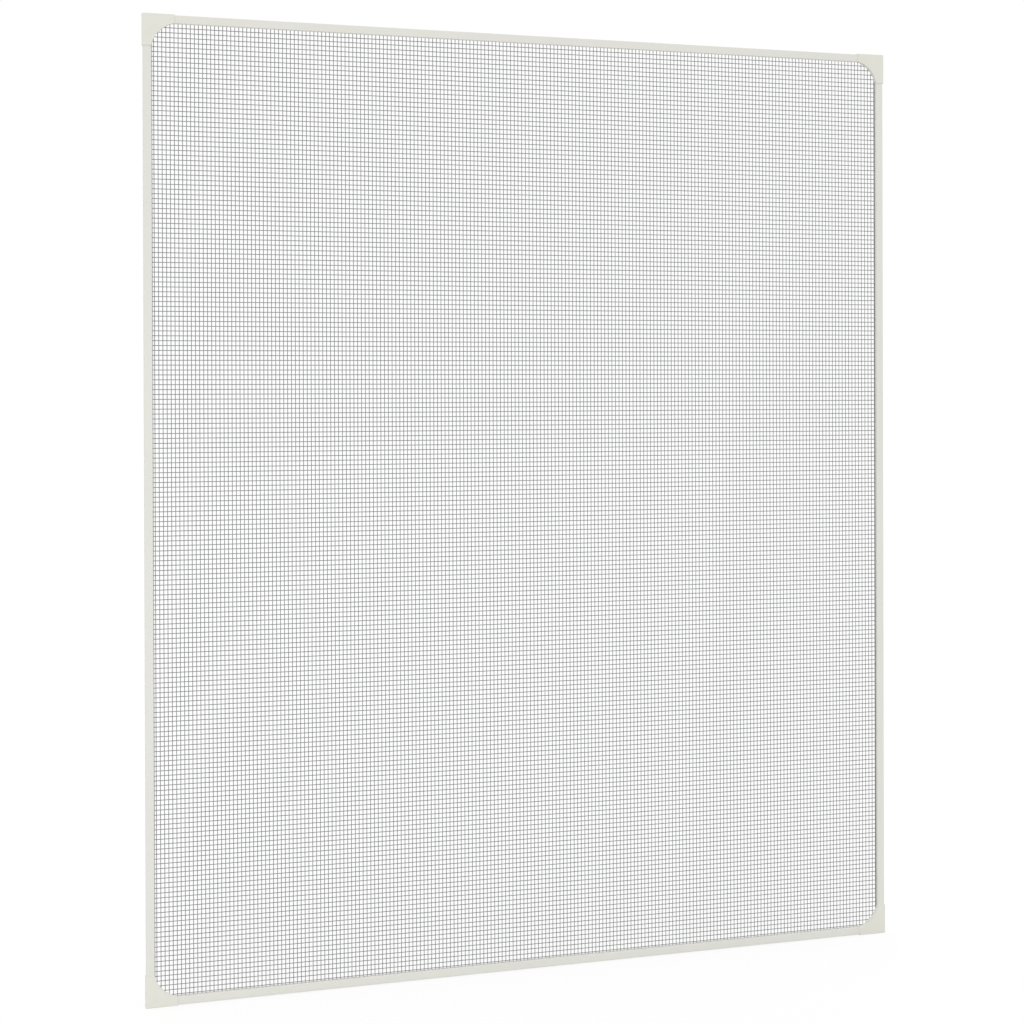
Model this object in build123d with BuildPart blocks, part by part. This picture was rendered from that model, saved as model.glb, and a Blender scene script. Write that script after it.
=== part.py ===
# A magnetic insect screen for a window, upright as it hangs on the window frame.
# Millimetres. +X runs across the screen and +Z up, and its front faces -Y.
# The origin is the middle of the screen's box.
import os
from math import sqrt

from build123d import *

# Size over the corner pieces
screen_width = 1000.0
screen_height = 1200.0

# Rail: a PVC extrusion whose section runs from its outer face inwards and from its front backwards
rail_width = 10.0
rail_depth = 5.0
rail_wall = 1.2
rail_front_radius = 0.8
chamber_width = 3.0  # closed chamber that takes the tongue of a corner piece
groove_width = 3.0  # open at the back, takes the edge of the mesh and the spline that holds it
groove_floor = 1.6  # skin between the groove and the front face
lip_width = 1.6  # wall between the groove and the window opening
mesh_slot = 0.6  # the lip stops this far short of the back face, so that the mesh passes over it
barb_radius = 0.2  # bead on the groove's outer wall that keeps the spline in
barb_setback = 0.5  # from the rail's back face to the middle of the bead

# Corner piece: a moulded cap over two rail ends, with a flat concave arc between its legs
corner_wall = 0.9
gusset_leg = 28.0  # from the rail's inner edge to the end of the arc
arc_radius = 36.0
block_size = 11.5  # square block in the corner that both rails butt against
block_floor = 1.0
tongue_length = 18.0
outer_corner_radius = 1.0
corner_edge_chamfer = 0.4

# Mesh: a sheet with a grid of openings, which leaves bands of a few threads each way and is as
# open as the net that it stands for. The warp is ridges on its front, and the weft on its back.
warp_count = 200  # threads of the net
weft_count = 200
thread_width = 1.0
open_columns = 10
open_rows = 12
band_threads = 4  # kept between two openings
web_thickness = 0.2
tuck_thickness = 0.4  # the edge of the sheet that is pressed into the groove
selvedge_width = 1.6  # close threads along both upright edges, just inside the rails
trimmed_corner = 9.0  # cut off each corner of the sheet

# Strips behind the rails: a flexible magnet on the screen, and a steel strip taped to the window
strip_inset = 0.5  # from both edges of the rail
strip_joint = 0.5  # between an upright strip and the level one that it meets
magnet_thickness = 1.5
steel_thickness = 0.5
tape_thickness = 0.6

# Clearances
rail_fit = 0.1  # rail in a corner piece
rail_end_gap = 0.3  # rail end to the block
tongue_fit = 0.15  # tongue in a rail's chamber
mesh_fit = 0.05  # mesh and spline in the groove and the slot

# Worked-out sizes
outer_width = screen_width - 2 * corner_wall  # over the rails
outer_height = screen_height - 2 * corner_wall
magnet_front = rail_depth
steel_front = magnet_front + magnet_thickness
tape_front = steel_front + steel_thickness
back_face = tape_front + tape_thickness
front_y = (corner_wall - back_face) / 2  # the plane of the rails' front faces
lip_back = rail_depth - mesh_slot
groove_inner = rail_width - lip_width
groove_outer = groove_inner - groove_width
leg_length = rail_width + gusset_leg
arc_middle = rail_width + (gusset_leg + sqrt(2 * arc_radius**2 - gusset_leg**2)) / 2
tuck_inner = groove_inner - mesh_fit
tuck_outer = tuck_inner - tuck_thickness
tuck_floor = groove_floor + mesh_fit
spline_diameter = groove_width - tuck_thickness - 4 * mesh_fit
sheet_width = outer_width - 2 * tuck_outer
sheet_height = outer_height - 2 * tuck_outer
sheet_front = lip_back + mesh_fit
sheet_back = rail_depth - mesh_fit
sheet_middle_y = front_y + (sheet_front + sheet_back) / 2
ridge_height = (sheet_back - sheet_front - web_thickness) / 2
warp_pitch = sheet_width / warp_count
weft_pitch = sheet_height / weft_count
column_pitch = sheet_width / open_columns
row_pitch = sheet_height / open_rows
opening_width = column_pitch - (band_threads - 1) * warp_pitch - thread_width
opening_height = row_pitch - (band_threads - 1) * weft_pitch - thread_width
strip_width = rail_width - 2 * strip_inset
upright_setback = strip_inset + strip_width + strip_joint  # where the upright strips start
spline_setback = tuck_outer + trimmed_corner

# One plane for each side: x inwards from the rail's outer face, y backwards from its front face,
# and z along the side from one corner to the next
right_x = outer_width / 2
top_z = outer_height / 2
sides = {
    "bottom": (Plane((right_x, front_y, -top_z), x_dir=(0, 0, 1), z_dir=(-1, 0, 0)), outer_width),
    "top": (Plane((-right_x, front_y, top_z), x_dir=(0, 0, -1), z_dir=(1, 0, 0)), outer_width),
    "left": (Plane((-right_x, front_y, -top_z), x_dir=(1, 0, 0), z_dir=(0, 0, 1)), outer_height),
    "right": (Plane((right_x, front_y, top_z), x_dir=(-1, 0, 0), z_dir=(0, 0, -1)), outer_height),
}

# One plane for each corner: x and y inwards along the two rails, and z forwards
corners = {
    "bottom_left": Plane((-right_x, front_y, -top_z), x_dir=(1, 0, 0), z_dir=(0, -1, 0)),
    "bottom_right": Plane((right_x, front_y, -top_z), x_dir=(0, 0, 1), z_dir=(0, -1, 0)),
    "top_right": Plane((right_x, front_y, top_z), x_dir=(-1, 0, 0), z_dir=(0, -1, 0)),
    "top_left": Plane((-right_x, front_y, top_z), x_dir=(0, 0, -1), z_dir=(0, -1, 0)),
}


def region(x_start, x_end, y_start, y_end, mode=Mode.ADD):
    """A rectangle between two corners of the sketch."""
    with Locations((x_start, y_start)):
        Rectangle(x_end - x_start, y_end - y_start, align=(Align.MIN, Align.MIN), mode=mode)


def both_ways(x_start, x_end, y_start, y_end):
    """A rectangle on one leg of a corner, and the same one on the other leg."""
    region(x_start, x_end, y_start, y_end)
    region(y_start, y_end, x_start, x_end)


def save(piece, name):
    piece.part.label = name
    export_step(piece.part, f"parts/{name}.step")


def make_rail(side):
    plane, length = sides[side]
    setback = block_size + rail_end_gap
    with BuildPart() as rail:
        with BuildSketch(plane.offset(setback)) as section:
            region(0, rail_width, 0, rail_depth)
            fillet(section.vertices().group_by(Axis.Y)[0], rail_front_radius)
            region(rail_wall, rail_wall + chamber_width, rail_wall, rail_depth - rail_wall, Mode.SUBTRACT)
            region(groove_outer, groove_inner, groove_floor, rail_depth, Mode.SUBTRACT)
            region(groove_inner, rail_width, lip_back, rail_depth, Mode.SUBTRACT)
            with Locations((groove_outer, rail_depth - barb_setback)):
                Circle(barb_radius)
        extrude(amount=length - 2 * setback)
    save(rail, f"rail_{side}")


def make_corner(corner):
    plane = corners[corner]
    with BuildPart() as cap:
        # Plate and gusset, from the front face back to the mesh
        with BuildSketch(plane.offset(corner_wall)):
            with BuildLine():
                Polyline(
                    (rail_width, leg_length),
                    (-corner_wall, leg_length),
                    (-corner_wall, -corner_wall),
                    (leg_length, -corner_wall),
                    (leg_length, rail_width),
                )
                RadiusArc((leg_length, rail_width), (rail_width, leg_length), arc_radius)
            make_face()
        extrude(amount=-(corner_wall + lip_back))
        # Outer walls and the block, back to the rails' back face
        with BuildSketch(plane):
            both_ways(-corner_wall, leg_length, -corner_wall, 0)
            region(0, block_size, 0, block_size)
        extrude(amount=-rail_depth)
        # Channels for the two rails
        with BuildSketch(plane.offset(rail_fit)):
            both_ways(block_size, leg_length, -rail_fit, rail_width + rail_fit)
        extrude(amount=-(rail_fit + rail_depth), mode=Mode.SUBTRACT)
        # Gusset cored from behind, with an even wall
        pocket_start = rail_width + rail_fit + corner_wall
        pocket_radius = arc_radius + corner_wall
        pocket_end = arc_middle - sqrt(pocket_radius**2 - (arc_middle - pocket_start) ** 2)
        with BuildSketch(plane):
            with BuildLine():
                Polyline((pocket_start, pocket_end), (pocket_start, pocket_start), (pocket_end, pocket_start))
                RadiusArc((pocket_end, pocket_start), (pocket_start, pocket_end), pocket_radius)
            make_face()
        extrude(amount=-rail_depth, mode=Mode.SUBTRACT)
        # Block cored from behind
        with BuildSketch(plane.offset(-block_floor)):
            region(corner_wall, block_size - corner_wall, corner_wall, block_size - corner_wall)
        extrude(amount=-rail_depth, mode=Mode.SUBTRACT)
        # Tongues that plug into the rails' chambers
        with BuildSketch(plane.offset(-rail_wall - tongue_fit)):
            both_ways(
                block_size,
                block_size + tongue_length,
                rail_wall + tongue_fit,
                rail_wall + chamber_width - tongue_fit,
            )
        extrude(amount=-(rail_depth - 2 * rail_wall - 2 * tongue_fit))
        outer_corner = plane.from_local_coords((-corner_wall, -corner_wall, 0))
        fillet(cap.edges().filter_by(Axis.Y).sort_by_distance(outer_corner)[0], outer_corner_radius)
        chamfer(cap.faces().sort_by(Axis.Y)[0].edges(), corner_edge_chamfer)
    save(cap, f"corner_{corner}")


def kept_threads(length, thread_pitch, openings):
    """Middles of the threads in the bands, one band at each end and between every two openings."""
    for band in range(openings + 1):
        for thread in range(band_threads):
            offset = (thread - (band_threads - 1) / 2) * thread_pitch
            place = band * length / openings - length / 2 + offset
            if abs(place) < length / 2:
                yield place


def make_mesh():
    web_half = web_thickness / 2
    middle = Plane.XZ.offset(-sheet_middle_y)
    with BuildPart() as mesh:
        # The edges, turned into the grooves and along their floors
        for plane, length in sides.values():
            with BuildSketch(plane.offset(spline_setback)):
                region(tuck_outer, tuck_inner, tuck_floor, sheet_back)
                region(groove_outer + mesh_fit, tuck_inner, tuck_floor, tuck_floor + tuck_thickness)
            extrude(amount=length - 2 * spline_setback)
        # The selvedges, just inside the upright rails
        for side in ("left", "right"):
            plane, length = sides[side]
            with BuildSketch(plane.offset(tuck_outer)):
                region(rail_width, rail_width + selvedge_width, sheet_front, sheet_back - ridge_height)
            extrude(amount=sheet_height)
        # The web, with its openings
        with BuildSketch(middle):
            Rectangle(sheet_width, sheet_height)
            with GridLocations(column_pitch, row_pitch, open_columns, open_rows):
                Rectangle(opening_width, opening_height, mode=Mode.SUBTRACT)
        extrude(amount=web_half, both=True)
        # The warp, upright on the web's front
        with BuildSketch(middle.offset(web_half)):
            with Locations(*((x, 0) for x in kept_threads(sheet_width, warp_pitch, open_columns))):
                Rectangle(thread_width, sheet_height)
        extrude(amount=ridge_height)
        # The weft, level on its back
        with BuildSketch(middle.offset(-web_half)):
            with Locations(*((0, z) for z in kept_threads(sheet_height, weft_pitch, open_rows))):
                Rectangle(sheet_width, thread_width)
        extrude(amount=-ridge_height)
        # The corners, cut off clear of the corner blocks
        with BuildSketch(middle):
            with GridLocations(sheet_width, sheet_height, 2, 2):
                Rectangle(trimmed_corner * sqrt(2), trimmed_corner * sqrt(2), rotation=45)
        extrude(amount=mesh_slot, both=True, mode=Mode.SUBTRACT)
    save(mesh, "insect_mesh")


def make_spline(side):
    plane, length = sides[side]
    radius = spline_diameter / 2
    middle = (groove_outer + mesh_fit + radius, tuck_floor + tuck_thickness + mesh_fit + radius)
    with BuildPart() as spline:
        with BuildSketch(plane.offset(spline_setback)):
            with Locations(middle):
                Circle(radius)
        extrude(amount=length - 2 * spline_setback)
    save(spline, f"mesh_spline_{side}")


def make_strip(side, kind, front, thickness):
    plane, length = sides[side]
    setback = strip_inset if side in ("top", "bottom") else upright_setback
    with BuildPart() as strip:
        with BuildSketch(plane.offset(setback)):
            region(strip_inset, strip_inset + strip_width, front, front + thickness)
        extrude(amount=length - 2 * setback)
    save(strip, f"{kind}_{side}")


os.makedirs("parts", exist_ok=True)
for corner in corners:
    make_corner(corner)
make_mesh()
for side in sides:
    make_rail(side)
    make_spline(side)
    make_strip(side, "magnet_strip", magnet_front, magnet_thickness)
    make_strip(side, "steel_strip", steel_front, steel_thickness)
    make_strip(side, "adhesive_tape", tape_front, tape_thickness)
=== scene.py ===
import math

import bmesh
import bpy
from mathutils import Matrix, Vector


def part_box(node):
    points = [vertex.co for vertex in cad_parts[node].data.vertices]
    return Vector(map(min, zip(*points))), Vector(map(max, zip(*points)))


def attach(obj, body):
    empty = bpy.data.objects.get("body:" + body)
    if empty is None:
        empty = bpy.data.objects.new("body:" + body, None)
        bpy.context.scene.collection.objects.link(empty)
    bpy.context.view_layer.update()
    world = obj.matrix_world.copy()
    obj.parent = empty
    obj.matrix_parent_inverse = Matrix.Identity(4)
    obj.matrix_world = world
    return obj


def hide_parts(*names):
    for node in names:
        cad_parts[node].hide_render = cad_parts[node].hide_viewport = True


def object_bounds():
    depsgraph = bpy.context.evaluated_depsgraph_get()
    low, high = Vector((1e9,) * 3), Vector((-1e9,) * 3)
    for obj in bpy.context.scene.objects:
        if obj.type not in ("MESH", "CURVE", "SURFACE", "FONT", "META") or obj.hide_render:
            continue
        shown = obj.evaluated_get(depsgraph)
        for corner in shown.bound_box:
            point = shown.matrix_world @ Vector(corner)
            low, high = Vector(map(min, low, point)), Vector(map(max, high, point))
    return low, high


# Magnetic insect screen, upright as it hangs on a window frame, front towards -Y, in metres
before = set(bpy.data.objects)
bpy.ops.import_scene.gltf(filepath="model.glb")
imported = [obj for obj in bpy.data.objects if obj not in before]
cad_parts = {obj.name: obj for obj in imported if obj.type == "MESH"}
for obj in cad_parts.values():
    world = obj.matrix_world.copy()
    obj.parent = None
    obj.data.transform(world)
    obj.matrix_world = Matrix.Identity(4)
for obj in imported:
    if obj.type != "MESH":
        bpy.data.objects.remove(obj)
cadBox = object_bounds()
scene = bpy.context.scene
scene.view_settings.view_transform = "Standard"
mm = 0.001
sideNames = ("top", "bottom", "left", "right")
cornerNames = ("top_left", "top_right", "bottom_left", "bottom_right")
print("frame loaded:", len(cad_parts), "nodes")


# Camera: from the left and front, a little above the middle; the shift lifts the picture's
# optical centre as the photograph has it
camera = {
    "place": (-0.767, -2.284, 0.149),
    "turn": (89.76, 0.17, -17.82),
    "lens": 65.8,
    "shiftUp": -0.115,
}
bpy.ops.object.camera_add(location=camera["place"], rotation=[math.radians(a) for a in camera["turn"]])
photoCamera = bpy.context.object
photoCamera.name = "photo_camera"
photoCamera.data.lens = camera["lens"]
photoCamera.data.shift_y = camera["shiftUp"]
scene.camera = photoCamera
print("camera set")


# Colours and nodes
def toLinear(hexColour):
    parts = [int(hexColour[i:i + 2], 16) / 255 for i in (1, 3, 5)]
    return tuple(c / 12.92 if c <= 0.04045 else ((c + 0.055) / 1.055) ** 2.4 for c in parts) + (1.0,)


def addNode(tree, kind, settings, links=None):
    # a setting is one of the node's sockets where it has one of that name, and otherwise a property
    node = tree.nodes.new(kind)
    for name, value in settings.items():
        if isinstance(name, int) or name in node.inputs:
            node.inputs[name].default_value = value
        else:
            setattr(node, name, value)
    for name, source in (links or {}).items():
        tree.links.new(source, node.inputs[name])
    return node


def newMaterial(name):
    material = bpy.data.materials.new(name)
    material.use_nodes = True
    tree = material.node_tree
    shader = tree.nodes["Principled BSDF"]
    coords = tree.nodes.new("ShaderNodeTexCoord").outputs["Object"]
    return material, tree, shader, coords


# Rigid PVC, extruded through a steel die: an even satin off-white, with faint lines along the run
extrudedPvc = {
    "pale": "#E3E3DC",
    "deep": "#DEDED6",
    "cloudSize": 90 * mm,
    "lineSpacing": 0.9 * mm,  # lines of the die, drawn coarser than they are so that they show
    "lineRun": 120 * mm,
    "lineHeight": 0.02 * mm,
    "roughness": (0.44, 0.54),
    "ior": 1.53,
}


def makeExtrudedPvc(name, runAxis):
    p = extrudedPvc
    material, tree, shader, coords = newMaterial(name)
    clouds = addNode(tree, "ShaderNodeTexNoise", {"Scale": 1 / p["cloudSize"], "Detail": 2.0},
                     {"Vector": coords})
    colour = addNode(tree, "ShaderNodeMix",
                     {"data_type": "RGBA", 6: toLinear(p["deep"]), 7: toLinear(p["pale"])},
                     {0: clouds.outputs["Fac"]})
    tree.links.new(colour.outputs[2], shader.inputs["Base Color"])
    stretch = [1 / p["lineSpacing"]] * 3
    stretch[runAxis] = 1 / p["lineRun"]
    run = addNode(tree, "ShaderNodeMapping", {"Scale": stretch}, {"Vector": coords})
    lines = addNode(tree, "ShaderNodeTexNoise", {"Scale": 1.0, "Detail": 3.0}, {"Vector": run.outputs[0]})
    gloss = addNode(tree, "ShaderNodeMapRange", {"To Min": p["roughness"][0], "To Max": p["roughness"][1]},
                    {"Value": lines.outputs["Fac"]})
    tree.links.new(gloss.outputs[0], shader.inputs["Roughness"])
    bump = addNode(tree, "ShaderNodeBump", {"Strength": 0.35, "Distance": p["lineHeight"]},
                   {"Height": lines.outputs["Fac"]})
    tree.links.new(bump.outputs[0], shader.inputs["Normal"])
    shader.inputs["IOR"].default_value = p["ior"]
    return material


# Rigid PVC, injection moulded in a spark-eroded tool: the same off-white with a fine even grain
mouldedPvc = {
    "pale": "#E3E3D9",
    "deep": "#DFDFD5",
    "cloudSize": 30 * mm,
    "grain": 0.45 * mm,  # coarser than the real grain, so that it shows
    "grainHeight": 0.02 * mm,
    "roughness": (0.48, 0.6),
    "ior": 1.53,
}


def makeMouldedPvc():
    p = mouldedPvc
    material, tree, shader, coords = newMaterial("moulded_pvc")
    clouds = addNode(tree, "ShaderNodeTexNoise", {"Scale": 1 / p["cloudSize"], "Detail": 2.0},
                     {"Vector": coords})
    colour = addNode(tree, "ShaderNodeMix",
                     {"data_type": "RGBA", 6: toLinear(p["deep"]), 7: toLinear(p["pale"])},
                     {0: clouds.outputs["Fac"]})
    tree.links.new(colour.outputs[2], shader.inputs["Base Color"])
    grain = addNode(tree, "ShaderNodeTexNoise", {"Scale": 1 / p["grain"], "Detail": 3.0, "Roughness": 0.6},
                    {"Vector": coords})
    gloss = addNode(tree, "ShaderNodeMapRange", {"To Min": p["roughness"][0], "To Max": p["roughness"][1]},
                    {"Value": grain.outputs["Fac"]})
    tree.links.new(gloss.outputs[0], shader.inputs["Roughness"])
    bump = addNode(tree, "ShaderNodeBump", {"Strength": 0.5, "Distance": p["grainHeight"]},
                   {"Height": grain.outputs["Fac"]})
    tree.links.new(bump.outputs[0], shader.inputs["Normal"])
    shader.inputs["IOR"].default_value = p["ior"]
    return material


# Glass-fibre yarn coated in grey PVC and woven: mid grey, a little waxy, with beads in the coat
coatedYarn = {
    "dark": "#7E7F80",
    "light": "#8F9091",
    "coatBeads": 3 * mm,
    "filaments": 0.2 * mm,  # much coarser than the real ones, so that they show
    "filamentHeight": 0.02 * mm,
    "roughness": (0.42, 0.6),
    "ior": 1.53,
}


def makeCoatedYarn():
    p = coatedYarn
    material, tree, shader, coords = newMaterial("pvc_coated_glass_yarn")
    beads = addNode(tree, "ShaderNodeTexNoise", {"Scale": 1 / p["coatBeads"], "Detail": 2.0},
                    {"Vector": coords})
    colour = addNode(tree, "ShaderNodeMix",
                     {"data_type": "RGBA", 6: toLinear(p["dark"]), 7: toLinear(p["light"])},
                     {0: beads.outputs["Fac"]})
    tree.links.new(colour.outputs[2], shader.inputs["Base Color"])
    gloss = addNode(tree, "ShaderNodeMapRange", {"To Min": p["roughness"][0], "To Max": p["roughness"][1]},
                    {"Value": beads.outputs["Fac"]})
    tree.links.new(gloss.outputs[0], shader.inputs["Roughness"])
    filaments = addNode(tree, "ShaderNodeTexNoise", {"Scale": 1 / p["filaments"], "Detail": 1.0},
                        {"Vector": coords})
    bump = addNode(tree, "ShaderNodeBump", {"Strength": 0.4, "Distance": p["filamentHeight"]},
                   {"Height": filaments.outputs["Fac"]})
    tree.links.new(bump.outputs[0], shader.inputs["Normal"])
    shader.inputs["IOR"].default_value = p["ior"]
    return material


# Soft PVC cord, extruded: dark grey and matt
softPvc = {
    "dark": "#333436",
    "light": "#3E3F41",
    "cloudSize": 6 * mm,
    "roughness": 0.62,
    "ior": 1.52,
}


def makeSoftPvc():
    p = softPvc
    material, tree, shader, coords = newMaterial("soft_pvc_cord")
    clouds = addNode(tree, "ShaderNodeTexNoise", {"Scale": 1 / p["cloudSize"], "Detail": 3.0},
                     {"Vector": coords})
    colour = addNode(tree, "ShaderNodeMix",
                     {"data_type": "RGBA", 6: toLinear(p["dark"]), 7: toLinear(p["light"])},
                     {0: clouds.outputs["Fac"]})
    tree.links.new(colour.outputs[2], shader.inputs["Base Color"])
    shader.inputs["Roughness"].default_value = p["roughness"]
    shader.inputs["IOR"].default_value = p["ior"]
    return material


# Ferrite powder in rubber, calendered to a strip: brown-black, dull, with specks of powder
ferriteRubber = {
    "dark": "#211C1A",
    "light": "#352D29",
    "specks": 0.5 * mm,
    "speckHeight": 0.03 * mm,
    "roughness": (0.55, 0.75),
    "ior": 1.55,
}


def makeFerriteRubber():
    p = ferriteRubber
    material, tree, shader, coords = newMaterial("ferrite_rubber")
    specks = addNode(tree, "ShaderNodeTexNoise",
                     {"Scale": 1 / p["specks"], "Detail": 4.0, "Roughness": 0.7},
                     {"Vector": coords})
    colour = addNode(tree, "ShaderNodeMix",
                     {"data_type": "RGBA", 6: toLinear(p["dark"]), 7: toLinear(p["light"])},
                     {0: specks.outputs["Fac"]})
    tree.links.new(colour.outputs[2], shader.inputs["Base Color"])
    gloss = addNode(tree, "ShaderNodeMapRange", {"To Min": p["roughness"][0], "To Max": p["roughness"][1]},
                    {"Value": specks.outputs["Fac"]})
    tree.links.new(gloss.outputs[0], shader.inputs["Roughness"])
    bump = addNode(tree, "ShaderNodeBump", {"Strength": 0.4, "Distance": p["speckHeight"]},
                   {"Height": specks.outputs["Fac"]})
    tree.links.new(bump.outputs[0], shader.inputs["Normal"])
    shader.inputs["IOR"].default_value = p["ior"]
    return material


# Zinc-coated strip steel, cold rolled: grey metal, fine lines along the strip, soft spangle
zincSteel = {
    "dark": "#8E9194",
    "light": "#A9ACAF",
    "spangle": 4 * mm,
    "lineSpacing": 0.4 * mm,  # lines of the rolls, drawn coarser than they are
    "lineRun": 30 * mm,
    "lineHeight": 0.01 * mm,
    "roughness": (0.32, 0.5),
}


def makeZincSteel(name, runAxis):
    p = zincSteel
    material, tree, shader, coords = newMaterial(name)
    spangle = addNode(tree, "ShaderNodeTexVoronoi", {"Scale": 1 / p["spangle"]}, {"Vector": coords})
    colour = addNode(tree, "ShaderNodeMix",
                     {"data_type": "RGBA", 6: toLinear(p["dark"]), 7: toLinear(p["light"])},
                     {0: spangle.outputs["Color"]})
    tree.links.new(colour.outputs[2], shader.inputs["Base Color"])
    stretch = [1 / p["lineSpacing"]] * 3
    stretch[runAxis] = 1 / p["lineRun"]
    run = addNode(tree, "ShaderNodeMapping", {"Scale": stretch}, {"Vector": coords})
    lines = addNode(tree, "ShaderNodeTexNoise", {"Scale": 1.0, "Detail": 3.0}, {"Vector": run.outputs[0]})
    gloss = addNode(tree, "ShaderNodeMapRange", {"To Min": p["roughness"][0], "To Max": p["roughness"][1]},
                    {"Value": lines.outputs["Fac"]})
    tree.links.new(gloss.outputs[0], shader.inputs["Roughness"])
    bump = addNode(tree, "ShaderNodeBump", {"Strength": 0.3, "Distance": p["lineHeight"]},
                   {"Height": lines.outputs["Fac"]})
    tree.links.new(bump.outputs[0], shader.inputs["Normal"])
    shader.inputs["Metallic"].default_value = 1.0
    return material


# Closed-cell foam tape: white, matt, with small round cells
foamTape = {
    "pale": "#E6E6E1",
    "deep": "#CFCFC8",
    "cells": 0.8 * mm,
    "cellHeight": 0.08 * mm,
    "roughness": 0.78,
}


def makeFoamTape():
    p = foamTape
    material, tree, shader, coords = newMaterial("foam_tape")
    cells = addNode(tree, "ShaderNodeTexVoronoi", {"Scale": 1 / p["cells"]}, {"Vector": coords})
    colour = addNode(tree, "ShaderNodeMix",
                     {"data_type": "RGBA", 6: toLinear(p["pale"]), 7: toLinear(p["deep"])},
                     {0: cells.outputs["Distance"]})
    tree.links.new(colour.outputs[2], shader.inputs["Base Color"])
    bump = addNode(tree, "ShaderNodeBump", {"Strength": 0.5, "Distance": p["cellHeight"]},
                   {"Height": cells.outputs["Distance"]})
    tree.links.new(bump.outputs[0], shader.inputs["Normal"])
    shader.inputs["Roughness"].default_value = p["roughness"]
    return material


def dress(node, material):
    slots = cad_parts[node].data.materials
    slots.clear()
    slots.append(material)


alongX, alongZ = 0, 2
runOf = {"top": alongX, "bottom": alongX, "left": alongZ, "right": alongZ}
pvcRun = {
    alongX: makeExtrudedPvc("extruded_pvc_level", alongX),
    alongZ: makeExtrudedPvc("extruded_pvc_upright", alongZ),
}
steelRun = {
    alongX: makeZincSteel("zinc_steel_level", alongX),
    alongZ: makeZincSteel("zinc_steel_upright", alongZ),
}
cornerPvc = makeMouldedPvc()
splinePvc = makeSoftPvc()
ferrite = makeFerriteRubber()
tape = makeFoamTape()
for side in sideNames:
    dress(f"rail_{side}", pvcRun[runOf[side]])
    dress(f"mesh_spline_{side}", splinePvc)
    dress(f"magnet_strip_{side}", ferrite)
    dress(f"steel_strip_{side}", steelRun[runOf[side]])
    dress(f"adhesive_tape_{side}", tape)
for corner in cornerNames:
    dress(f"corner_{corner}", cornerPvc)
print("rails, corner pieces and strips dressed")


# The net: flat yarns woven over and under each other, drawn as coarse as the photograph shows
# them, about 200 each way. A square of two yarns by two is modelled and repeated.
net = {
    "yarnWidth": 1.0 * mm,
    "yarnThickness": 0.24 * mm,
    "yarnSides": 4,
    "warpPitch": 4.92 * mm,
    "weftPitch": 5.917 * mm,
    "firstWarp": 8.4 * mm,  # from the outer face of the left rail
    "firstWeft": 11.8 * mm,  # from the outer face of the bottom rail
    "yarns": 200,
    "edge": 7.95 * mm,  # from the rails' outer faces to the edge of the flat sheet
    "trimmedCorner": 9.0 * mm,
    "fromRailBack": 0.3 * mm,  # to the middle of the slot that the net passes through
}
leftRail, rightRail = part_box("rail_left"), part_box("rail_right")
bottomRail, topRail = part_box("rail_bottom"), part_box("rail_top")
outerLeft, outerRight = leftRail[0][0], rightRail[1][0]
outerBottom, outerTop = bottomRail[0][2], topRail[1][2]
sheetLeft, sheetRight = outerLeft + net["edge"], outerRight - net["edge"]
sheetBottom, sheetTop = outerBottom + net["edge"], outerTop - net["edge"]
netDepth = leftRail[1][1] - net["fromRailBack"]
yarnMaterial = makeCoatedYarn()


def deselectAll():
    if bpy.context.object and bpy.context.object.mode != "OBJECT":
        bpy.ops.object.mode_set(mode="OBJECT")
    bpy.ops.object.select_all(action="DESELECT")


def applyAll(piece):
    bpy.context.view_layer.objects.active = piece
    for modifier in list(piece.modifiers):
        bpy.ops.object.modifier_apply(modifier=modifier.name)


def addArray(piece, step, count):
    array = piece.modifiers.new("repeat", "ARRAY")
    array.use_relative_offset = False
    array.use_constant_offset = True
    array.constant_offset_displace = step
    array.count = count
    array.use_merge_vertices = True
    array.merge_threshold = 0.01 * mm


# One yarn across two crossings, starting in front (lift -1) or behind (lift 1)
def addYarn(start, alongAxis, pitch, lift, width):
    crossing = net["yarnThickness"] / 2
    place = [start[0], start[1] + lift * crossing, start[2]]
    turn = (0, 0, 0) if alongAxis == alongZ else (0, math.pi / 2, 0)
    bpy.ops.mesh.primitive_circle_add(vertices=net["yarnSides"], radius=width / 2, location=place,
                                      rotation=turn)
    bpy.ops.object.mode_set(mode="EDIT")
    bpy.ops.mesh.select_all(action="SELECT")
    flatten = (1, net["yarnThickness"] / width, 1)
    bpy.ops.transform.resize(value=flatten, center_override=place)
    for way in (-lift, lift):
        step = [0, way * 2 * crossing, 0]
        step[alongAxis] = pitch
        bpy.ops.mesh.extrude_edges_move(TRANSFORM_OT_translate={"value": step})
    bpy.ops.object.mode_set(mode="OBJECT")
    bpy.ops.object.transform_apply(location=True, rotation=True, scale=True)
    return bpy.context.object


def joinAll(pieces, name):
    deselectAll()
    for piece in pieces:
        piece.select_set(True)
    bpy.context.view_layer.objects.active = pieces[0]
    if len(pieces) > 1:
        bpy.ops.object.join()
    pieces[0].name = name
    pieces[0].data.name = name
    return pieces[0]


# Cuts a piece along a plane, takes away what is on the normal's side and closes the cut yarns
def trim(point, normal):
    bpy.ops.mesh.select_all(action="SELECT")
    bpy.ops.mesh.bisect(plane_co=point, plane_no=normal, use_fill=True, clear_outer=True)


def claimNet(piece):
    piece.data.materials.clear()
    piece.data.materials.append(yarnMaterial)
    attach(piece, "root")
    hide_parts("insect_mesh")


def finishNet(piece):
    bpy.ops.mesh.select_all(action="SELECT")
    bpy.ops.mesh.fill_holes(sides=net["yarnSides"])
    bpy.ops.mesh.select_all(action="SELECT")
    bpy.ops.mesh.normals_make_consistent(inside=False)
    bpy.ops.object.mode_set(mode="OBJECT")
    bpy.ops.object.shade_flat()
    claimNet(piece)


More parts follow.
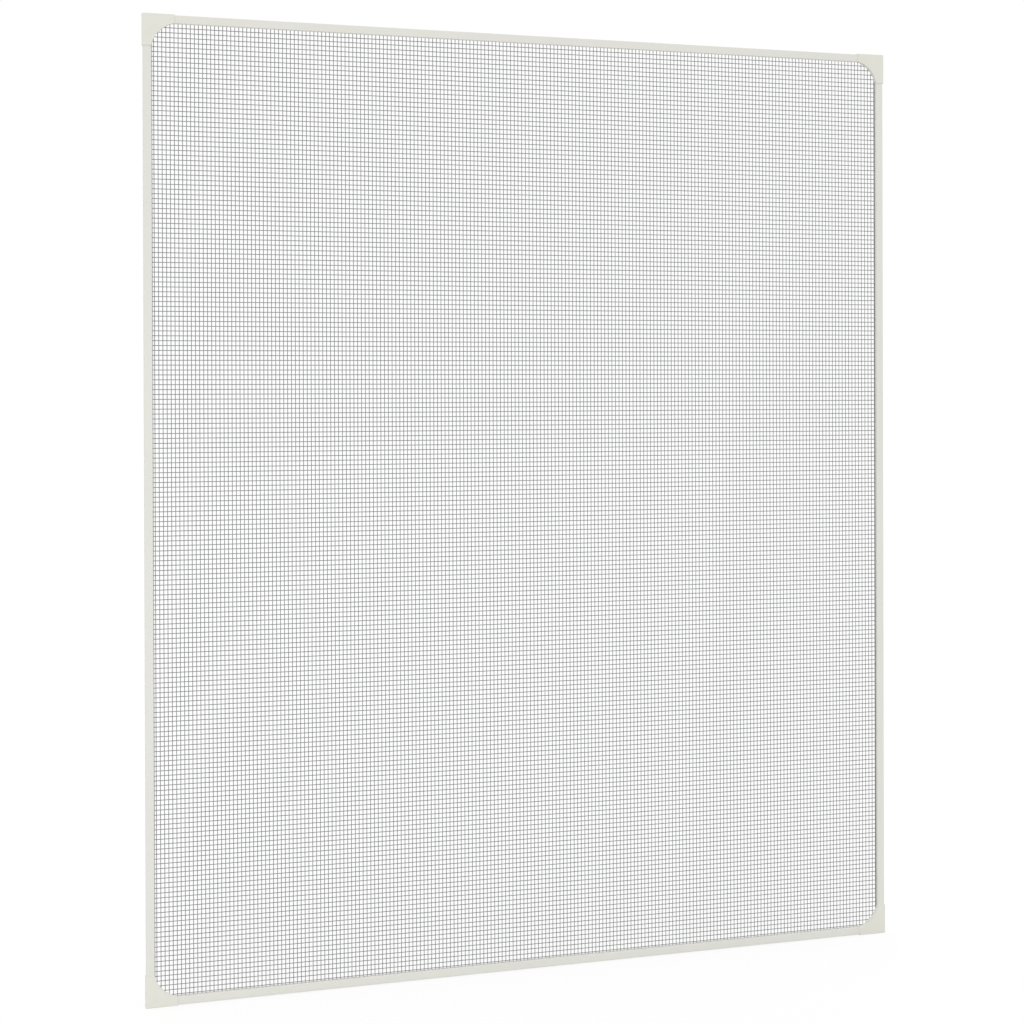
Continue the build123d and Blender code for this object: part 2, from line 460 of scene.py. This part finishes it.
# The net's edges, turned into the rails' grooves and along their floors, where the cord holds them
tuck = {
    "wall": 0.4 * mm,
    "inner": 8.35 * mm,  # from the rail's outer face to the inner side of the turned edge
    "footEnd": 5.45 * mm,
    "floor": 1.65 * mm,  # from the rail's front face
    "back": 4.95 * mm,
    "setback": 16.95 * mm,  # from the corner of the rails
}


def addTuck(name, side):
    p = tuck
    low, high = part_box(f"rail_{side}")
    along = runOf[side]
    across = alongZ if along == alongX else alongX
    outer, way = (low[across], 1) if side in ("left", "bottom") else (high[across], -1)
    length = (outerRight - outerLeft if along == alongX else outerTop - outerBottom) - 2 * p["setback"]
    split = low[1] + p["floor"] + p["wall"]
    place, size = [0, low[1] + (p["floor"] + p["back"]) / 2, 0], [0, p["back"] - p["floor"], 0]
    place[across], size[across] = outer + way * (p["inner"] - p["wall"] / 2), p["wall"]
    size[along] = length
    deselectAll()
    bpy.ops.mesh.primitive_cube_add(size=1, location=place, scale=size)
    piece = bpy.context.object
    piece.name = name
    piece.data.name = name
    bpy.ops.object.transform_apply(location=True, rotation=True, scale=True)
    bpy.ops.object.mode_set(mode="EDIT")
    bpy.ops.mesh.select_mode(type="FACE")
    bpy.ops.mesh.select_all(action="SELECT")
    bpy.ops.mesh.bisect(plane_co=(0, split, 0), plane_no=(0, 1, 0))
    faces = bmesh.from_edit_mesh(piece.data).faces
    for face in faces:
        outwards = face.normal[across] * way < -0.9
        face.select_set(outwards and face.calc_center_median().y < split)
    step = [0, 0, 0]
    step[across] = -way * (p["inner"] - p["wall"] - p["footEnd"])
    bpy.ops.mesh.extrude_region_move(TRANSFORM_OT_translate={"value": step})
    bpy.ops.mesh.select_all(action="SELECT")
    bpy.ops.mesh.normals_make_consistent(inside=False)
    bpy.ops.object.mode_set(mode="OBJECT")
    claimNet(piece)


for side in sideNames:
    addTuck(f"net_edge_{side}", side)
print("net edges tucked into the rails")


# Finer yarns more along each upright edge, just inside the rail, make a darker line along it:
# two on the left, and one on the right beside the last yarn of the weave
edgeLineYarns = {
    # for each yarn its place from the rail's outer face, its width and its first lift
    "left": ((10.4 * mm, 0.55 * mm, -1), (11.2 * mm, 0.55 * mm, 1)),
    "right": ((11.38 * mm, 0.3 * mm, 1),),
    "hiddenEnd": 20 * mm,  # the ends stop behind the corner pieces
}


def addEdgeLineYarns(side):
    p = edgeLineYarns
    outer, way = (outerLeft, 1) if side == "left" else (outerRight, -1)
    deselectAll()
    yarns = []
    z = outerBottom + net["firstWeft"] - 2 * net["weftPitch"]
    for distance, width, lift in p[side]:
        start = (outer + way * distance, netDepth, z)
        yarns.append(addYarn(start, alongZ, net["weftPitch"], lift, width))
    edgeLine = joinAll(yarns, f"net_edge_line_{side}")
    addArray(edgeLine, (0, 0, 2 * net["weftPitch"]), net["yarns"] // 2 + 2)
    applyAll(edgeLine)
    bpy.ops.object.mode_set(mode="EDIT")
    trim((0, netDepth, outerBottom + p["hiddenEnd"]), (0, 0, -1))
    trim((0, netDepth, outerTop - p["hiddenEnd"]), (0, 0, 1))
    finishNet(edgeLine)


addEdgeLineYarns("left")
addEdgeLineYarns("right")


# The weave itself, in four quarters, each trimmed at its outer edges and corner
def addNetQuarter(name, column, row):
    # column and row are 0 or 1; each quarter starts on an even yarn, so that the weave runs on
    half = net["yarns"] // 2
    startWarp = -2 if column == 0 else half
    startWeft = -2 if row == 0 else half
    x = outerLeft + net["firstWarp"] + startWarp * net["warpPitch"]
    z = outerBottom + net["firstWeft"] + startWeft * net["weftPitch"]
    deselectAll()
    yarns = []
    for i in (0, 1):
        lift = -1 if i == 0 else 1
        warpStart = (x + i * net["warpPitch"], netDepth, z)
        weftStart = (x, netDepth, z + i * net["weftPitch"])
        yarns.append(addYarn(warpStart, alongZ, net["weftPitch"], lift, net["yarnWidth"]))
        yarns.append(addYarn(weftStart, alongX, net["warpPitch"], -lift, net["yarnWidth"]))
    quarter = joinAll(yarns, name)
    addArray(quarter, (2 * net["warpPitch"], 0, 0), half // 2 + 1)
    addArray(quarter, (0, 0, 2 * net["weftPitch"]), half // 2 + 1)
    applyAll(quarter)
    bpy.ops.object.mode_set(mode="EDIT")
    edgeX, wayX = (sheetLeft, -1) if column == 0 else (sheetRight, 1)
    edgeZ, wayZ = (sheetBottom, -1) if row == 0 else (sheetTop, 1)
    trim((edgeX, netDepth, 0), (wayX, 0, 0))
    trim((0, netDepth, edgeZ), (0, 0, wayZ))
    trim((edgeX - wayX * net["trimmedCorner"], netDepth, edgeZ), (wayX, 0, wayZ))
    finishNet(quarter)


addNetQuarter("net_lower_left", 0, 0)
addNetQuarter("net_lower_right", 1, 0)
addNetQuarter("net_upper_left", 0, 1)
addNetQuarter("net_upper_right", 1, 1)
print("net woven")


# 1 where the camera sees the floor or the world, also in gloss or through glass, and otherwise 0
def addSeen(tree):
    path = addNode(tree, "ShaderNodeLightPath", {})
    seen = path.outputs["Is Camera Ray"]
    for kind in ("Is Glossy Ray", "Is Transmission Ray"):
        larger = addNode(tree, "ShaderNodeMath", {"operation": "MAXIMUM"}, {0: seen, 1: path.outputs[kind]})
        seen = larger.outputs[0]
    return seen


# Floor: plain and pale; the camera sees it nearly white, with the object's shadow faint on it
floor = {"size": 40.0, "colour": "#D7D7D7", "whiteShare": 0.7, "white": 1.14}
bpy.ops.mesh.primitive_plane_add(size=floor["size"], location=(0, 0, cadBox[0][2]))
floorPlane = bpy.context.object
floorPlane.name = "floor"
floorMaterial = bpy.data.materials.new("white_floor")
floorMaterial.use_nodes = True
floorTree = floorMaterial.node_tree
floorTree.nodes.clear()
floorShare = addNode(floorTree, "ShaderNodeMath", {"operation": "MULTIPLY", 1: floor["whiteShare"]},
                     {0: addSeen(floorTree)})
floorMatt = addNode(floorTree, "ShaderNodeBsdfDiffuse", {"Color": toLinear(floor["colour"])})
floorWhite = addNode(floorTree, "ShaderNodeEmission", {"Strength": floor["white"]})
floorMix = addNode(floorTree, "ShaderNodeMixShader", {},
                   {0: floorShare.outputs[0], 1: floorMatt.outputs[0], 2: floorWhite.outputs[0]})
addNode(floorTree, "ShaderNodeOutputMaterial", {}, {"Surface": floorMix.outputs[0]})
floorPlane.data.materials.append(floorMaterial)

# World: even studio light, and plain white where the camera, gloss or glass sees it
studio = {
    "light": 1.054,
    "keyPower": 8.2,
    "keyPlace": (-1.0, -2.2, -0.54),
    "keyWidth": 1.6,
    "keyHeight": 0.1,
}
world = bpy.data.worlds.new("studio")
scene.world = world
world.use_nodes = True
worldTree = world.node_tree
worldTree.nodes.clear()
softLight = addNode(worldTree, "ShaderNodeBackground", {"Color": (1, 1, 1, 1), "Strength": studio["light"]})
plainWhite = addNode(worldTree, "ShaderNodeBackground", {"Color": (1, 1, 1, 1), "Strength": 1.0})
worldMix = addNode(worldTree, "ShaderNodeMixShader", {},
                   {0: addSeen(worldTree), 1: softLight.outputs[0], 2: plainWhite.outputs[0]})
addNode(worldTree, "ShaderNodeOutputWorld", {}, {"Surface": worldMix.outputs[0]})

bpy.ops.object.light_add(type="AREA", location=studio["keyPlace"])
keyLight = bpy.context.object
keyLight.name = "key_light"
keyLight.data.shape = "RECTANGLE"
keyLight.data.size = studio["keyWidth"]
keyLight.data.size_y = studio["keyHeight"]
keyLight.data.energy = studio["keyPower"]
keyLight.visible_camera = False
keyLight.rotation_euler = (-keyLight.location).to_track_quat("-Z", "Y").to_euler()

# The low key light would leave a white streak on the floor below it, so the floor doesn't take it
keyless = bpy.data.collections.new("keyless")
keyless.objects.link(floorPlane)
keyLight.light_linking.receiver_collection = keyless
keyless.collection_objects[0].light_linking.link_state = "EXCLUDE"
print("floor and light set")
